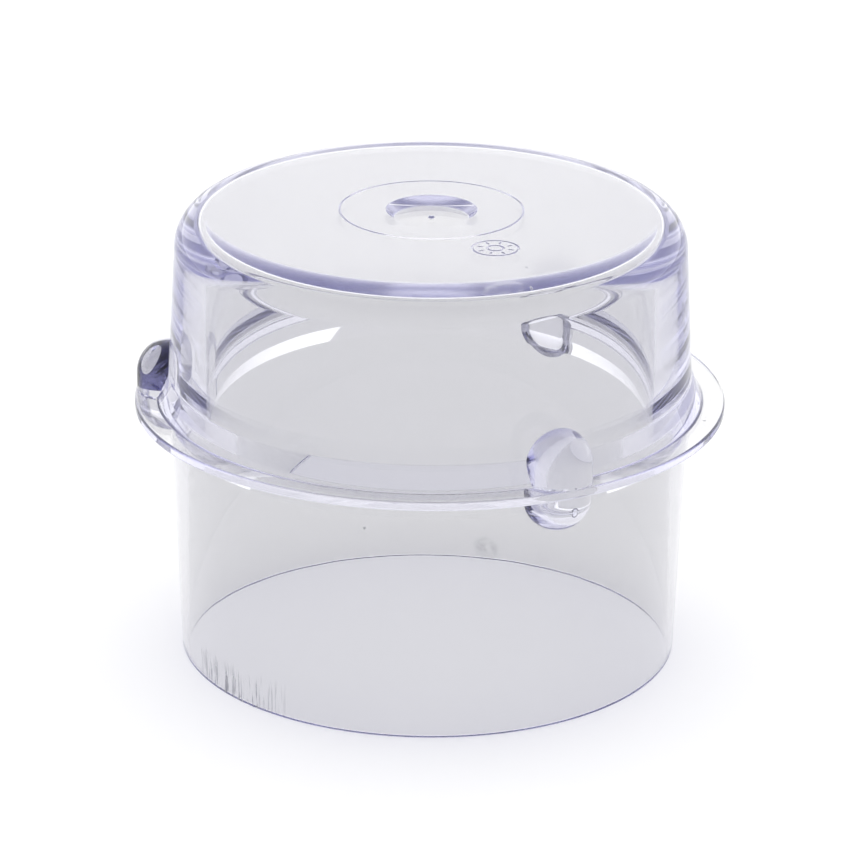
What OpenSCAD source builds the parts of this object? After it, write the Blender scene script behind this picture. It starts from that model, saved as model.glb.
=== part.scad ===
// Lid measuring cup, moulded in one shot from clear plastic, standing on its open rim.
// Millimetres, +Z up. The origin is the centre of the open rim's plane, and the front lug is on -Y.
// Every node is a feature of the one moulding. Neighbours meet face to face and never come apart.

/* [Cup body] */
// Height from the open rim to the flat end
cup_h = 50.4; // [46:0.1:56]
// Outer radius where the upper wall meets the rounded shoulder
end_r = 28; // [26.5:0.1:28.6]
// Radius of the rounded shoulder
shoulder_r = 4; // [2.5:0.1:5]
// Outer radius of the wall just above the collar
over_collar_r = 28.8; // [28.6:0.1:29.4]
// Outer radius of the wall just under the collar
under_collar_r = 28.6; // [28:0.1:28.8]
// Outer radius at the open rim
rim_r = 27.6; // [27.2:0.1:28]

/* [Cavity] */
// Thickness of the flat end
end_t = 2; // [1.4:0.1:2.6]
// Inner radius at the closed end
roof_r = 25; // [24.6:0.1:25.1]
// Radius of the corner between the cavity's wall and its roof
corner_r = 0.6; // [0.4:0.1:2]
// Height above the open rim where the narrow part of the cavity ends, at the half-full ledge
ledge_top_z = 27.5; // [27:0.1:28.2]
// Height above the open rim where the wide part of the cavity starts
ledge_low_z = 25.2; // [24.4:0.1:26]
// Inner radius just above the ledge
over_ledge_r = 25.1; // [25.1:0.1:25.7]
// Inner radius just under the ledge
under_ledge_r = 26.4; // [25.9:0.1:26.4]
// Inner radius at the open rim
mouth_r = 26.5; // [26.4:0.1:26.6]

/* [Collar] */
// Height of the collar's underside above the open rim
collar_z = 28.2; // [24:0.1:30]
// Thickness of the collar's flat ring
collar_t = 1; // [0.8:0.1:1.6]
// Outer radius of the collar
collar_r = 32.5; // [31.5:0.1:34]
// Width of the sloping web at the collar's top face
web_w = 1.2; // [0.6:0.1:2]
// Height of the sloping web above the collar's top face
web_h = 2.7; // [1.5:0.1:4]

/* [Lugs] */
// Radius of a lug and of its round ends
lug_r = 3.8; // [3:0.1:4.2]
// Gap between the lugs' outermost line and the collar's edge
lug_inset = 0.1; // [0.05:0.05:0.5]
// Height of a lug above the collar's top face
lug_up = 5.6; // [4.8:0.1:7]
// Reach of a lug below the collar's underside
lug_down = 4.6; // [4.4:0.1:6]

/* [Marks on the flat end] */
// Radius of the moulding gate's recess at the flat end's face
gate_r = 5; // [4:0.1:6]
// Radius of the recess's floor
gate_floor_r = 4.1; // [3:0.1:4.5]
// Depth of the recess
gate_depth = 0.9; // [0.3:0.1:1.2]
// Radius of the fine circle that the mould's insert leaves
witness_r = 10; // [8:0.1:11]
// Distance of the mould mark from the centre
mark_at = 14.5; // [13.5:0.1:18]
// Outer radius of the mould mark, a plain engraved dial
mark_r = 2.6; // [1.6:0.1:3]
// Number of ticks round the dial
mark_ticks = 8; // [4:1:12]
// Width of an engraved line
line_w = 0.3; // [0.2:0.05:0.4]
// Depth of an engraved line
line_depth = 0.15; // [0.05:0.05:0.3]

/* [Hidden] */
$fn = 96;
eps = 0.01;

clear_tint = [0.84, 0.84, 0.93, 0.5];

// The shoulder is an arc about (arc_x, arc_z), and the upper wall is tangent to it.
arc_x = end_r - shoulder_r;
arc_z = cup_h - shoulder_r;
web_top_z = collar_z + collar_t + web_h;
wall_lean = atan((over_collar_r - end_r) / (arc_z - web_top_z));
tangent_x = arc_x + shoulder_r * cos(wall_lean);
tangent_z = arc_z + shoulder_r * sin(wall_lean);

roof_z = cup_h - end_t;
lug_axis_r = collar_r - lug_inset - lug_r;
lug_top_z = collar_z + collar_t + lug_up;
lug_low_z = collar_z - lug_down;

// Half outline of the cup's outside, filled in to the axis, without the collar
module outside_half() {
    polygon([
        [0, 0],
        [rim_r, 0],
        [under_collar_r, collar_z],
        [over_collar_r, web_top_z],
        [tangent_x, tangent_z],
        [arc_x, cup_h],
        [0, cup_h],
    ]);
    translate([arc_x, arc_z])
        circle(shoulder_r);
}

// Half outline of the cavity, which runs straight down out of the open rim
module cavity_half() {
    polygon([
        [-eps, -1],
        [mouth_r, -1],
        [mouth_r, 0],
        [under_ledge_r, ledge_low_z],
        [over_ledge_r, ledge_top_z],
        [roof_r, roof_z - corner_r],
        [roof_r - corner_r, roof_z],
        [-eps, roof_z],
    ]);
    translate([roof_r - corner_r, roof_z - corner_r])
        circle(corner_r);
}

// Half outline of the collar's ring and its sloping web, filled in to the axis
module collar_half() {
    polygon([
        [0, collar_z],
        [collar_r, collar_z],
        [collar_r, collar_z + collar_t],
        [over_collar_r + web_w, collar_z + collar_t],
        [over_collar_r, web_top_z],
        [0, web_top_z],
    ]);
}

// One storey of the wall, between two heights
module wall_storey(low, high) {
    rotate_extrude()
        difference() {
            intersection() {
                outside_half();
                translate([0, low])
                    square([collar_r, high - low]);
            }
            cavity_half();
        }
}

// An engraved ring in the flat end's face
module engraved_ring(r) {
    translate([0, 0, cup_h - line_depth])
        difference() {
            cylinder(h = 1, r = r + line_w / 2);
            translate([0, 0, -eps])
                cylinder(h = 2, r = r - line_w / 2);
        }
}

module mould_mark() {
    engraved_ring(mark_r - line_w / 2);
    engraved_ring(mark_r / 3);
    for (i = [0 : mark_ticks - 1])
        rotate([0, 0, i * 360 / mark_ticks])
            translate([mark_r * 0.52, -line_w / 2, cup_h - line_depth])
                cube([mark_r * 0.28, line_w, 1]);
}

module closed_end() {
    color(clear_tint)
        difference() {
            wall_storey(arc_z, cup_h);
            translate([0, 0, cup_h - gate_depth])
                cylinder(h = gate_depth + eps, r1 = gate_floor_r, r2 = gate_r + eps);
            engraved_ring(witness_r);
            translate([0, -mark_at, 0])
                mould_mark();
        }
}

module upper_wall() {
    color(clear_tint)
        wall_storey(web_top_z, arc_z);
}

module collar() {
    color(clear_tint)
        rotate_extrude()
            difference() {
                collar_half();
                cavity_half();
            }
}

module lower_wall() {
    color(clear_tint)
        wall_storey(0, collar_z);
}

// A ball-ended upright rod, cut back to the faces of the walls and the collar
module lug(azimuth) {
    color(clear_tint)
        difference() {
            rotate([0, 0, azimuth])
                translate([lug_axis_r, 0, 0]) {
                    translate([0, 0, lug_low_z + lug_r])
                        cylinder(h = lug_top_z - lug_low_z - 2 * lug_r, r = lug_r);
                    translate([0, 0, lug_low_z + lug_r])
                        sphere(lug_r);
                    translate([0, 0, lug_top_z - lug_r])
                        sphere(lug_r);
                }
            rotate_extrude() {
                outside_half();
                collar_half();
            }
        }
}

module lug_front() { lug(-90); }
module lug_right() { lug(30); }
module lug_left() { lug(150); }

closed_end();
upper_wall();
collar();
lower_wall();
lug_front();
lug_right();
lug_left();
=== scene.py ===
import math

import bpy
from mathutils import Matrix, Vector


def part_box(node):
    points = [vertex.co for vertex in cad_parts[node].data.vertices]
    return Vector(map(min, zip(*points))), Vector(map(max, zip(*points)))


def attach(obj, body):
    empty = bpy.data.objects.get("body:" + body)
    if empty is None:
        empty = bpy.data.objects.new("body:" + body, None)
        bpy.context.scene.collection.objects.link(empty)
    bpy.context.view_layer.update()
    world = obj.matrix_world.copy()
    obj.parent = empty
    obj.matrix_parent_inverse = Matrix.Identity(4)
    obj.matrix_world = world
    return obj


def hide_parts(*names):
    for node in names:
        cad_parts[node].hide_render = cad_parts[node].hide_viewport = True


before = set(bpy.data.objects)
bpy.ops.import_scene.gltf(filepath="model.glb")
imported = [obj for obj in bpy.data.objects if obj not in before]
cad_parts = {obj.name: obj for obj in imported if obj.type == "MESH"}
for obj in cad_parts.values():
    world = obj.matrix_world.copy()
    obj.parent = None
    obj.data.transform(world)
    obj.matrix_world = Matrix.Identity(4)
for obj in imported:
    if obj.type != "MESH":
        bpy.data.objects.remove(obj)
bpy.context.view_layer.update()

# A clear lid measuring cup, stood on its open rim. It is one moulding, so it is made as one piece.
MM = 0.001

# Driving sizes of the cup, read from its nodes. Each is half a box's width or a height.
SHOULDER_LOW_Z, CUP_H = (corner.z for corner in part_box("closed_end"))
WEB_TOP_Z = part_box("collar")[1].z
COLLAR_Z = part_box("collar")[0].z
END_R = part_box("closed_end")[1].x
OVER_COLLAR_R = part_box("upper_wall")[1].x
UNDER_COLLAR_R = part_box("lower_wall")[1].x
COLLAR_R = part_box("collar")[1].x
LUG_LOW, LUG_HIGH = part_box("lug_front")

# Sizes inside the moulding, as the part's source has them.
RIM_R = 27.6 * MM
END_T = 2 * MM
ROOF_R = 25 * MM
OVER_LEDGE_R = 25.1 * MM
UNDER_LEDGE_R = 26.4 * MM
LEDGE_TOP_Z = 27.5 * MM
LEDGE_LOW_Z = 25.2 * MM
MOUTH_R = 26.5 * MM
COLLAR_T = 1 * MM
WEB_W = 1.2 * MM
GATE_R = 5 * MM
GATE_FLOOR_R = 4.1 * MM
GATE_DEPTH = 0.9 * MM
GATE_NUB_R = 0.35 * MM
GATE_NUB_TOP_R = 0.21 * MM
GATE_NUB_H = 0.2 * MM
WITNESS_R = 10 * MM
WITNESS_W = 0.12 * MM
WITNESS_DEPTH = 0.1 * MM

# The engraved dial on the closed end: a rim and a hub, with ticks between them
MARK_AT = 14.5 * MM
MARK_R = 2.6 * MM
MARK_HUB_R = MARK_R / 3
MARK_TICKS = 8
TICK_START = MARK_R * 0.52
TICK_END = MARK_R * 0.8
MARK_LINE_R = 0.13 * MM

# The lugs: their places round the cup, and how deep they root in the wall
LUG_PLACES = (-90, 30, 150)
LUG_ROOT = 1 * MM

# How round the moulding's edges are
SOFT_EDGE = 0.25 * MM
CRISP_EDGE = 0.12 * MM
NUB_EDGE = 0.07 * MM
WITNESS_EDGE = 0.03 * MM
WEB_EDGE = 0.4 * MM
LEDGE_EDGE = 0.35 * MM
ROOF_EDGE = 0.6 * MM

# How finely the outline is turned
TURN_STEPS = 360
ARC_STEP = math.radians(7.5)
LARGE_ARC_STEP = math.radians(3.75)
LARGE_ARC_R = 1 * MM
SUPPORT = 0.04 * MM
LUG_STEPS = 96
SHARP_ANGLE = math.radians(24)

# The eye that looks at the cup
EYE_AZIMUTH = math.radians(-28)
EYE_ELEVATION = math.radians(21.16)
EYE_DISTANCE = 0.4874
EYE_LENS = 186.46
EYE_ROLL = math.radians(0.53)
EYE_SHIFT = (-0.0053, 0.0008)

# The studio
FLOOR_R = 3
FLOOR_GAP = 0.05 * MM
FLOOR_LIGHT_STRENGTH = 0.92
FLOOR_LIGHT_SPREAD = math.radians(50)

# The plastic: how its surface dims light, how its depth tints it, and how glossy it is
IOR = 1.5
CLEAN_SURFACE = (0.8, 0.8, 0.8, 1)
WORN_SURFACE = (0.22, 0.22, 0.25, 1)
DEPTH_TINT = (0.505, 0.5, 0.745, 1)
DEPTH_DENSITY = 40
SHADOW_TINT = (0.905, 0.905, 0.915, 1)
POLISHED, DULLED, SCUFFED = 0.005, 0.035, 0.5

# How fine each pattern's grain is, in spans per metre
SCUFF_GRAIN = 2600
SMUDGE_GRAIN = 900
SPECKS_GRAIN = 170
HAZE_GRAIN = 55
RIPPLE_GRAIN = 70
STIPPLE_GRAIN = 240

# How deep the surface's relief looks
RIPPLE_DEPTH = 0.02 * MM
SCRATCH_DEPTH = 0.03 * MM
STIPPLE_DEPTH = 0.05 * MM

# Where the plastic is worn, and how matt the mould has left the closed end's face
SCUFF_SPOT = (-26.9 * MM, -6 * MM, 1.5 * MM)
SCUFF_REACH = 8 * MM
SMUDGE_SPOT = (18 * MM, 19.3 * MM, 1.6 * MM)
SMUDGE_REACH = 1.8 * MM
SCUFF_STRENGTH = 1.6
SCUFF_LENGTHENING = 0.07
SCUFFS_FULL_BELOW = 1 * MM
SCUFFS_END_AT = 4 * MM
END_FROST = 0.12
FROST_TOP = CUP_H - 0.04 * MM
FROST_FOOT = CUP_H - 0.12 * MM


def rounded_corner(before, corner, after, radius):
    """The points of an arc that rounds the corner between two straight stretches."""
    to_before = (before - corner).normalized()
    to_after = (after - corner).normalized()
    half = to_before.angle(to_after) / 2
    middle = corner + (to_before + to_after).normalized() * radius / math.sin(half)
    start = corner + to_before * radius / math.tan(half) - middle
    finish = corner + to_after * radius / math.tan(half) - middle
    turn = start.angle_signed(finish)
    step = LARGE_ARC_STEP if radius > LARGE_ARC_R else ARC_STEP
    count = max(2, math.ceil(abs(turn) / step))
    return [middle + Matrix.Rotation(-turn * i / count, 2) @ start for i in range(count + 1)]


def half_outline(corners):
    """The cup's half outline as (radius, height) points, from the axis back to the axis.

    Each straight stretch gets a point just inside either end, which keeps its shading flat.
    """
    places = [Vector(corner[:2]) for corner in corners]
    radii = [corner[2] for corner in corners]
    points = [places[0]]
    for before, corner, after, radius in zip(places, places[1:], places[2:], radii[1:]):
        arc = rounded_corner(before, corner, after, radius)
        points += straight_supports(points[-1], arc[0])
        points += arc
    points += straight_supports(points[-1], places[-1])
    return points + [places[-1]]


def straight_supports(start, finish):
    """A point just inside each end of a straight stretch, unless it is very short."""
    way = finish - start
    if way.length < 4 * SUPPORT:
        return []
    inset = way.normalized() * SUPPORT
    supports = [start + inset, finish - inset]
    return [point for point in supports if point.x > SUPPORT]


def deselect_all():
    for piece in bpy.context.selected_objects:
        piece.select_set(False)


def turned_body(name, outline):
    """A closed body made by spinning a half outline once round the cup's axis."""
    deselect_all()
    bpy.ops.mesh.primitive_plane_add(size=1 * MM)
    body = bpy.context.object
    body.name = name
    bpy.ops.object.mode_set(mode="EDIT")
    bpy.ops.mesh.merge(type="CENTER")
    bpy.ops.transform.translate(value=(outline[0].x, 0, outline[0].y))
    for here, there in zip(outline, outline[1:]):
        way = there - here
        bpy.ops.mesh.extrude_region_move(TRANSFORM_OT_translate={"value": (way.x, 0, way.y)})
    bpy.ops.mesh.select_all(action="SELECT")
    bpy.ops.mesh.spin(steps=TURN_STEPS, angle=math.tau, center=(0, 0, 0), axis=(0, 0, 1))
    bpy.ops.mesh.select_all(action="SELECT")
    bpy.ops.mesh.remove_doubles(threshold=0.001 * MM)
    bpy.ops.mesh.normals_make_consistent(inside=False)
    bpy.ops.object.mode_set(mode="OBJECT")
    return body


def cup_corners():
    """(radius, height, edge radius) of each corner, from the gate's nub out, down and back in."""
    shoulder_lean = (OVER_COLLAR_R - END_R) / (SHOULDER_LOW_Z - WEB_TOP_Z)
    shoulder_r = CUP_H - SHOULDER_LOW_Z
    gate_floor_z = CUP_H - GATE_DEPTH
    roof_z = CUP_H - END_T
    return [
        (0, gate_floor_z + GATE_NUB_H, 0),
        (GATE_NUB_TOP_R, gate_floor_z + GATE_NUB_H, NUB_EDGE),
        (GATE_NUB_R, gate_floor_z, NUB_EDGE),
        (GATE_FLOOR_R, gate_floor_z, SOFT_EDGE),
        (GATE_R, CUP_H, CRISP_EDGE),
        (WITNESS_R - WITNESS_W, CUP_H, WITNESS_EDGE),
        (WITNESS_R, CUP_H - WITNESS_DEPTH, WITNESS_EDGE),
        (WITNESS_R + WITNESS_W, CUP_H, WITNESS_EDGE),
        (END_R - shoulder_lean * shoulder_r, CUP_H, shoulder_r),
        (OVER_COLLAR_R, WEB_TOP_Z, WEB_EDGE),
        (OVER_COLLAR_R + WEB_W, COLLAR_Z + COLLAR_T, WEB_EDGE),
        (COLLAR_R, COLLAR_Z + COLLAR_T, SOFT_EDGE),
        (COLLAR_R, COLLAR_Z, SOFT_EDGE),
        (UNDER_COLLAR_R, COLLAR_Z, SOFT_EDGE),
        (RIM_R, 0, SOFT_EDGE),
        (MOUTH_R, 0, SOFT_EDGE),
        (UNDER_LEDGE_R, LEDGE_LOW_Z, LEDGE_EDGE),
        (OVER_LEDGE_R, LEDGE_TOP_Z, LEDGE_EDGE),
        (ROOF_R, roof_z, ROOF_EDGE),
        (0, roof_z, 0),
    ]


def lug_tool(azimuth):
    """A ball-ended upright rod at one of the three lug places."""
    radius = (LUG_HIGH.x - LUG_LOW.x) / 2
    axis_r = -LUG_LOW.y - radius
    place = (axis_r * math.cos(azimuth), axis_r * math.sin(azimuth), LUG_LOW.z + radius)
    deselect_all()
    bpy.ops.mesh.primitive_uv_sphere_add(
        segments=LUG_STEPS, ring_count=LUG_STEPS // 2, radius=radius, location=place,
    )
    lug = bpy.context.object
    bpy.ops.object.transform_apply()
    bpy.ops.object.mode_set(mode="EDIT")
    bpy.ops.mesh.select_mode(type="FACE")
    bpy.ops.mesh.select_all(action="DESELECT")
    bpy.ops.object.mode_set(mode="OBJECT")
    for face in lug.data.polygons:
        face.select = face.center.z > place[2]
    bpy.ops.object.mode_set(mode="EDIT")
    rise = LUG_HIGH.z - LUG_LOW.z - 2 * radius
    bpy.ops.mesh.extrude_region_move(TRANSFORM_OT_translate={"value": (0, 0, rise)})
    bpy.ops.mesh.select_mode(type="VERT")
    bpy.ops.object.mode_set(mode="OBJECT")
    return lug


def wall_core():
    """A plug that reaches into the wall, which trims what a lug has inside the cavity."""
    deselect_all()
    radius = OVER_COLLAR_R - LUG_ROOT
    bpy.ops.mesh.primitive_cylinder_add(vertices=TURN_STEPS, radius=radius, depth=2 * CUP_H)
    return bpy.context.object


def joined(tools):
    """One object made of several that don't touch each other."""
    deselect_all()
    for tool in tools:
        tool.select_set(True)
    bpy.context.view_layer.objects.active = tools[0]
    bpy.ops.object.join()
    return tools[0]


def carve(piece, tool, operation):
    """Joins the tool to the piece or cuts it out of it, and removes the tool."""
    modifier = piece.modifiers.new("carve", "BOOLEAN")
    modifier.operation = operation
    modifier.solver = "EXACT"
    modifier.object = tool
    deselect_all()
    bpy.context.view_layer.objects.active = piece
    piece.select_set(True)
    bpy.ops.object.modifier_apply(modifier=modifier.name)
    bpy.data.objects.remove(tool)


def dial_ring_tool(radius):
    """A ring that engraves a circle of the dial."""
    deselect_all()
    bpy.ops.mesh.primitive_torus_add(
        location=(0, -MARK_AT, CUP_H), major_radius=radius, minor_radius=MARK_LINE_R,
        major_segments=72, minor_segments=16,
    )
    return bpy.context.object


def dial_tick_tool(turn):
    """A long bead that engraves a tick of the dial, pointing away from its hub."""
    deselect_all()
    middle = (TICK_START + TICK_END) / 2
    bpy.ops.mesh.primitive_uv_sphere_add(
        segments=16, ring_count=12, radius=MARK_LINE_R,
        location=(middle * math.cos(turn), middle * math.sin(turn) - MARK_AT, CUP_H),
        rotation=(0, 0, turn), scale=((TICK_END - TICK_START) / 2 / MARK_LINE_R, 1, 1),
    )
    return bpy.context.object


def lid_cup():
    """The whole moulding as one closed skin, because clear plastic shows any face inside it."""
    cup = turned_body("lid_cup", half_outline(cup_corners()))
    lugs = joined([lug_tool(math.radians(degrees)) for degrees in LUG_PLACES])
    carve(lugs, wall_core(), "DIFFERENCE")
    carve(cup, lugs, "UNION")
    rings = [dial_ring_tool(radius) for radius in (MARK_R - MARK_LINE_R, MARK_HUB_R)]
    ticks = [dial_tick_tool(math.tau * i / MARK_TICKS) for i in range(MARK_TICKS)]
    carve(cup, joined(rings + ticks), "DIFFERENCE")
    deselect_all()
    cup.select_set(True)
    bpy.context.view_layer.objects.active = cup
    bpy.ops.object.shade_smooth_by_angle(angle=SHARP_ANGLE)
    return cup


def add_node(tree, kind, **settings):
    """A new node. A setting that is no attribute of the node is the value of its input."""
    node = tree.nodes.new(kind)
    for key, value in settings.items():
        if hasattr(node, key):
            setattr(node, key, value)
        else:
            node.inputs[key.replace("_", " ")].default_value = value
    return node


def blank_material(name):
    material = bpy.data.materials.new(name)
    material.use_nodes = True
    material.node_tree.nodes.clear()
    return material, material.node_tree


def noise(tree, place, scale, detail):
    texture = add_node(tree, "ShaderNodeTexNoise", Scale=scale, Detail=detail)
    tree.links.new(place, texture.inputs["Vector"])
    return texture.outputs["Fac"]


def spread(tree, value, low, high, to_low=0.0, to_high=1.0):
    """The value's stretch from low to high, drawn out to another range and held at its ends."""
    node = add_node(tree, "ShaderNodeMapRange", From_Min=low, From_Max=high, To_Min=to_low, To_Max=to_high)
    tree.links.new(value, node.inputs["Value"])
    return node.outputs[0]


def combine(tree, operation, first, second):
    """A sum on two values, each a socket or a number."""
    node = add_node(tree, "ShaderNodeMath", operation=operation)
    for socket, value in zip(node.inputs, (first, second)):
        if isinstance(value, (int, float)):
            socket.default_value = value
        else:
            tree.links.new(value, socket)
    return node.outputs[0]


def near_spot(tree, place, spot, reach):
    """1 at a spot on the cup, falling to 0 at its reach."""
    gap = add_node(tree, "ShaderNodeVectorMath", operation="DISTANCE")
    gap.inputs[1].default_value = spot
    tree.links.new(place, gap.inputs[0])
    return spread(tree, gap.outputs["Value"], 0, reach, 1, 0)


def rim_scuffs(tree, place, height):
    """Short upright scratches low on the rim, where the cup has been dragged along a worktop."""
    upright = add_node(tree, "ShaderNodeMapping")
    upright.inputs["Scale"].default_value = (1, 1, SCUFF_LENGTHENING)
    tree.links.new(place, upright.inputs["Vector"])
    hatch = spread(tree, noise(tree, upright.outputs[0], SCUFF_GRAIN, 1), 0.56, 0.62)
    near_scuffs = near_spot(tree, place, SCUFF_SPOT, SCUFF_REACH)
    patch = combine(tree, "MULTIPLY", near_scuffs, SCUFF_STRENGTH)
    low = spread(tree, height, SCUFFS_FULL_BELOW, SCUFFS_END_AT, 1, 0)
    worn = combine(tree, "MULTIPLY", hatch, combine(tree, "MINIMUM", patch, low))
    smudge_edge = spread(tree, noise(tree, place, SMUDGE_GRAIN, 3), 0.35, 0.65)
    smudge = combine(tree, "MULTIPLY", near_spot(tree, place, SMUDGE_SPOT, SMUDGE_REACH), smudge_edge)
    return combine(tree, "MAXIMUM", worn, smudge)


def trapped_specks(tree, place):
    """Rare dark specks that the moulding has caught."""
    cells = add_node(tree, "ShaderNodeTexVoronoi", Scale=SPECKS_GRAIN)
    tree.links.new(place, cells.inputs["Vector"])
    speck = spread(tree, cells.outputs["Distance"], 0.02, 0.035, 1, 0)
    tone = add_node(tree, "ShaderNodeSeparateColor")
    tree.links.new(cells.outputs["Color"], tone.inputs[0])
    return combine(tree, "MULTIPLY", speck, spread(tree, tone.outputs[0], 0.9, 0.91))


def uneven_gloss(tree, place, height, wear):
    """Polished plastic with dulled patches, dull scuffs and a matt closed end."""
    haze = spread(tree, noise(tree, place, HAZE_GRAIN, 4), 0.35, 0.75)
    frosted = spread(tree, height, FROST_FOOT, FROST_TOP, 0, END_FROST)
    rough = combine(tree, "MAXIMUM", spread(tree, haze, 0, 1, POLISHED, DULLED), frosted)
    return combine(tree, "MAXIMUM", rough, combine(tree, "MULTIPLY", wear, SCUFFED))


def rippled_skin(tree, place, wear):
    """The moulding's slight ripple, with the wear cut into it."""
    ripple = add_node(tree, "ShaderNodeBump", Strength=1.0, Distance=RIPPLE_DEPTH)
    tree.links.new(noise(tree, place, RIPPLE_GRAIN, 2), ripple.inputs["Height"])
    scratch = add_node(tree, "ShaderNodeBump", Strength=0.6, Distance=SCRATCH_DEPTH, invert=True)
    tree.links.new(wear, scratch.inputs["Height"])
    tree.links.new(ripple.outputs[0], scratch.inputs["Normal"])
    return scratch.outputs[0]


def clear_lavender_plastic():
    """Refracting plastic that is tinted in its depth and lets the light of lamps straight through."""
    material, tree = blank_material("clear_lavender_plastic")
    link = tree.links.new
    output = add_node(tree, "ShaderNodeOutputMaterial")
    plastic = add_node(tree, "ShaderNodeBsdfPrincipled", IOR=IOR)
    plastic.inputs["Transmission Weight"].default_value = 1

    place = add_node(tree, "ShaderNodeTexCoord").outputs["Object"]
    axes = add_node(tree, "ShaderNodeSeparateXYZ")
    link(place, axes.inputs[0])
    height = axes.outputs["Z"]
    scuffs = rim_scuffs(tree, place, height)
    wear = combine(tree, "MAXIMUM", scuffs, trapped_specks(tree, place))
    shade = add_node(tree, "ShaderNodeMix", data_type="RGBA")
    shade.inputs["A"].default_value = CLEAN_SURFACE
    shade.inputs["B"].default_value = WORN_SURFACE
    link(wear, shade.inputs["Factor"])
    link(shade.outputs["Result"], plastic.inputs["Base Color"])
    link(uneven_gloss(tree, place, height, wear), plastic.inputs["Roughness"])
    link(rippled_skin(tree, place, wear), plastic.inputs["Normal"])

    path = add_node(tree, "ShaderNodeLightPath")
    see_through = add_node(tree, "ShaderNodeBsdfTransparent", Color=SHADOW_TINT)
    lamp_mix = add_node(tree, "ShaderNodeMixShader")
    bounce_mix = add_node(tree, "ShaderNodeMixShader")
    link(path.outputs["Is Shadow Ray"], lamp_mix.inputs[0])
    link(plastic.outputs[0], lamp_mix.inputs[1])
    link(see_through.outputs[0], lamp_mix.inputs[2])
    link(path.outputs["Is Diffuse Ray"], bounce_mix.inputs[0])
    link(lamp_mix.outputs[0], bounce_mix.inputs[1])
    link(see_through.outputs[0], bounce_mix.inputs[2])
    link(bounce_mix.outputs[0], output.inputs["Surface"])
    tint = add_node(tree, "ShaderNodeVolumeAbsorption", Color=DEPTH_TINT, Density=DEPTH_DENSITY)
    link(tint.outputs[0], output.inputs["Volume"])
    return material


def pale_floor_paint():
    """Matt white paint with a roller's faint stipple."""
    material, tree = blank_material("pale_floor")
    output = add_node(tree, "ShaderNodeOutputMaterial")
    paint = add_node(tree, "ShaderNodeBsdfPrincipled", Roughness=0.9)
    paint.inputs["Base Color"].default_value = (0.9, 0.9, 0.9, 1)
    place = add_node(tree, "ShaderNodeTexCoord").outputs["Object"]
    rolled = noise(tree, place, STIPPLE_GRAIN, 3)
    tree.links.new(spread(tree, rolled, 0.3, 0.7, 0.82, 0.95), paint.inputs["Roughness"])
    stipple = add_node(tree, "ShaderNodeBump", Strength=0.2, Distance=STIPPLE_DEPTH)
    tree.links.new(rolled, stipple.inputs["Height"])
    tree.links.new(stipple.outputs[0], paint.inputs["Normal"])
    tree.links.new(paint.outputs[0], output.inputs["Surface"])
    return material


def studio_floor():
    deselect_all()
    bpy.ops.mesh.primitive_circle_add(
        vertices=96, radius=FLOOR_R, fill_type="NGON", location=(0, 0, -FLOOR_GAP),
    )
    floor = bpy.context.object
    floor.name = "studio_floor"
    floor.data.materials.append(pale_floor_paint())


# The sky's brightness by height: degrees above the horizon, on the far side, on the eye's side
SKY_STOPS = (
    (-6, 0.9, 0.65),
    (-1, 2.2, 0.8),
    (6, 1.7, 0.92),
    (19, 1.42, 0.82),
    (27, 1.9, 0.5),
    (45, 1.8, 0.3),
    (65, 1.2, 0.3),
    (90, 0.5, 0.4),
)


def sky_ramp(tree, column):
    """A ramp from straight down (0) to straight up (1) through one column of the stops."""
    bands = add_node(tree, "ShaderNodeValToRGB")
    ramp = bands.color_ramp
    while len(ramp.elements) < len(SKY_STOPS):
        ramp.elements.new(0.5)
    for element, stop in zip(ramp.elements, SKY_STOPS):
        element.position = (math.sin(math.radians(stop[0])) + 1) / 2
        brightness = stop[column]
        element.color = (brightness, brightness, brightness, 1)
    return bands


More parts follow.
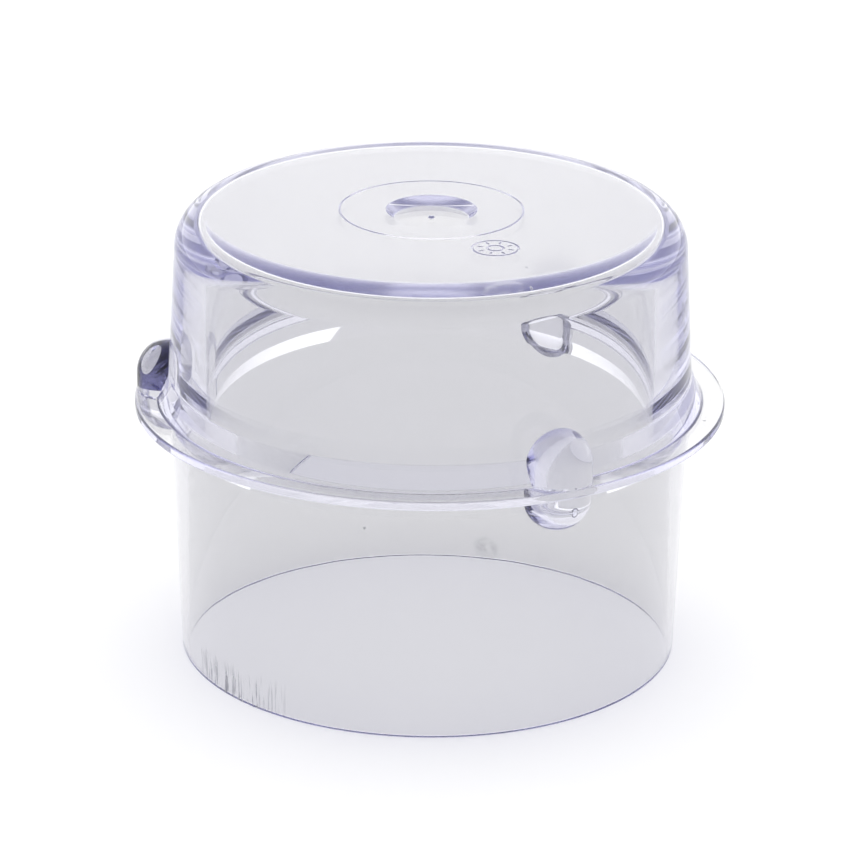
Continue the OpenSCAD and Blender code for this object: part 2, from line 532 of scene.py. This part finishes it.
def studio_sky():
    """Soft light from all round, brightest low down on the far side of the cup."""
    world = bpy.data.worlds.new("studio_sky")
    bpy.context.scene.world = world
    world.use_nodes = True
    tree = world.node_tree
    link = tree.links.new
    direction = add_node(tree, "ShaderNodeTexCoord")
    split = add_node(tree, "ShaderNodeSeparateXYZ")
    height = add_node(tree, "ShaderNodeMapRange", From_Min=-1.0, From_Max=1.0)
    far_way = add_node(tree, "ShaderNodeVectorMath", operation="DOT_PRODUCT")
    far_way.inputs[1].default_value = (-math.sin(EYE_AZIMUTH), math.cos(EYE_AZIMUTH), 0)
    far_share = add_node(tree, "ShaderNodeMapRange", From_Min=-1.0, From_Max=1.0)
    far, near = sky_ramp(tree, 1), sky_ramp(tree, 2)
    blend = add_node(tree, "ShaderNodeMix", data_type="RGBA")
    link(direction.outputs["Generated"], split.inputs[0])
    link(direction.outputs["Generated"], far_way.inputs[0])
    link(split.outputs["Z"], height.inputs["Value"])
    link(far_way.outputs["Value"], far_share.inputs["Value"])
    link(height.outputs[0], far.inputs[0])
    link(height.outputs[0], near.inputs[0])
    link(far_share.outputs[0], blend.inputs["Factor"])
    link(near.outputs[0], blend.inputs["A"])
    link(far.outputs[0], blend.inputs["B"])
    link(blend.outputs["Result"], tree.nodes["Background"].inputs["Color"])


def floor_light():
    """Wide soft light from overhead that whitens the floor and isn't itself seen in the plastic."""
    lamp = bpy.data.lights.new("floor_light", "SUN")
    lamp.angle = FLOOR_LIGHT_SPREAD
    lamp.energy = FLOOR_LIGHT_STRENGTH
    holder = bpy.data.objects.new("floor_light", lamp)
    bpy.context.scene.collection.objects.link(holder)
    holder.location = (0, 0, 1)
    holder.visible_camera = False
    holder.visible_glossy = False
    holder.visible_transmission = False


def eye():
    camera = bpy.data.cameras.new("eye")
    holder = bpy.data.objects.new("eye", camera)
    bpy.context.scene.collection.objects.link(holder)
    bpy.context.scene.camera = holder
    level = math.cos(EYE_ELEVATION)
    back = Vector(
        (math.sin(EYE_AZIMUTH) * level, -math.cos(EYE_AZIMUTH) * level, math.sin(EYE_ELEVATION))
    )
    aim = (-back).to_track_quat("-Z", "Y").to_matrix() @ Matrix.Rotation(EYE_ROLL, 3, "Z")
    holder.location = Vector((0, 0, CUP_H / 2)) + back * EYE_DISTANCE
    holder.rotation_euler = aim.to_euler()
    camera.sensor_width = 36
    camera.lens = EYE_LENS
    camera.shift_x, camera.shift_y = EYE_SHIFT
    camera.clip_start = 10 * MM


def light_paths():
    """Enough bounces for light that is caught inside the clear wall."""
    scene = bpy.context.scene
    scene.view_settings.view_transform = "Standard"
    scene.cycles.max_bounces = 48
    scene.cycles.glossy_bounces = 40
    scene.cycles.transmission_bounces = 40
    scene.cycles.transparent_max_bounces = 32


eye()
cup = lid_cup()
cup.data.materials.clear()
cup.data.materials.append(clear_lavender_plastic())
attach(cup, "root")
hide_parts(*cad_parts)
studio_floor()
studio_sky()
floor_light()
light_paths()
